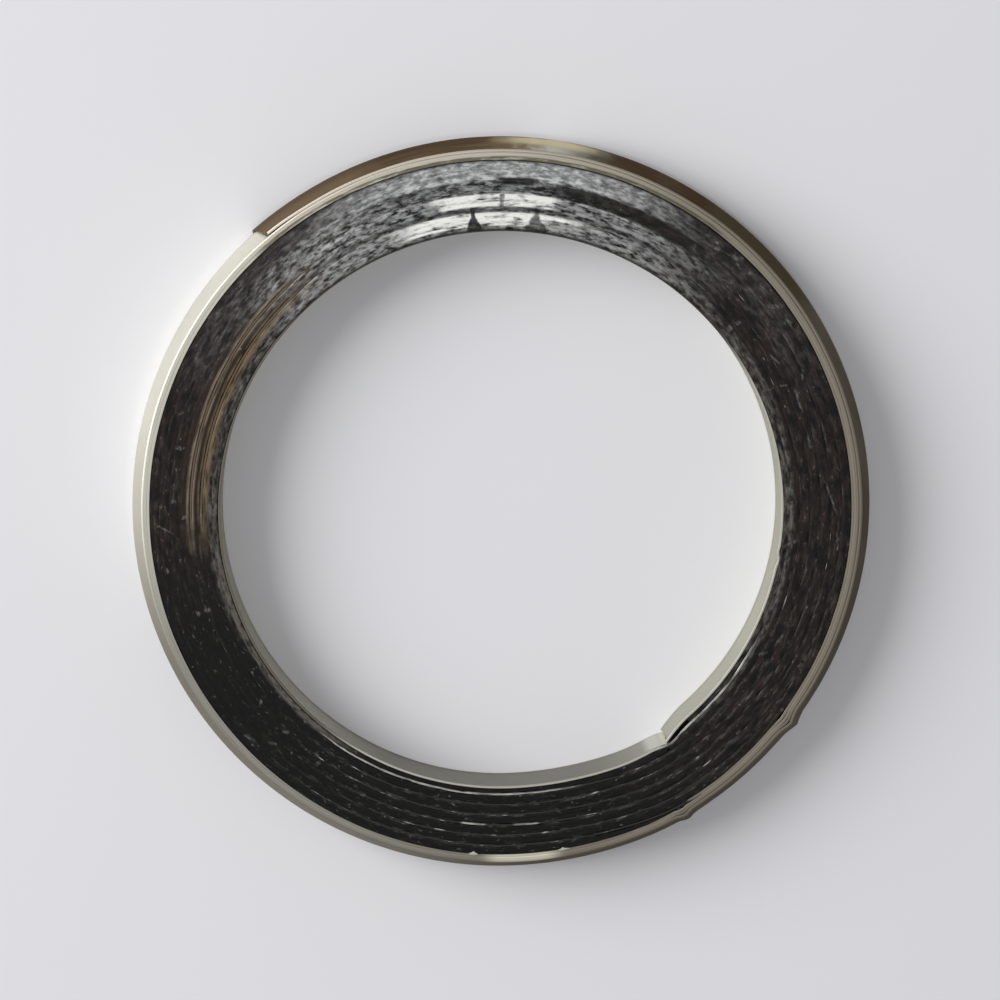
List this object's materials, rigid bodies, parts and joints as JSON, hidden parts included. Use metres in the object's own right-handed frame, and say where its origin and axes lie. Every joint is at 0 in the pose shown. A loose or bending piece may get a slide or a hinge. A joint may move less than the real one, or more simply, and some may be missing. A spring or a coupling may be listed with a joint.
{
  "type": "exhaust gasket",
  "caption": "Flat spiral-wound exhaust ring gasket: a V-section steel strip wound round the bore with graphite tape between its turns, to seal a pipe flange joint.",
  "frame": {"origin": "on the axis of the bore, at the lower sealing face", "axes": "+Z along the axis of the bore, up through the ring; +X and +Y in the plane of the ring"},
  "size_m": [0.0648, 0.0648, 0.0056],
  "materials": {
    "strip_steel": "rolled stainless strip with light heat tint",
    "pressed_graphite": "pressed flexible graphite, dark and partly burnished"
  },
  "bodies": {
    "root": {"steel_strip": "strip_steel", "graphite_tape": "pressed_graphite"}
  },
  "joints": []
}
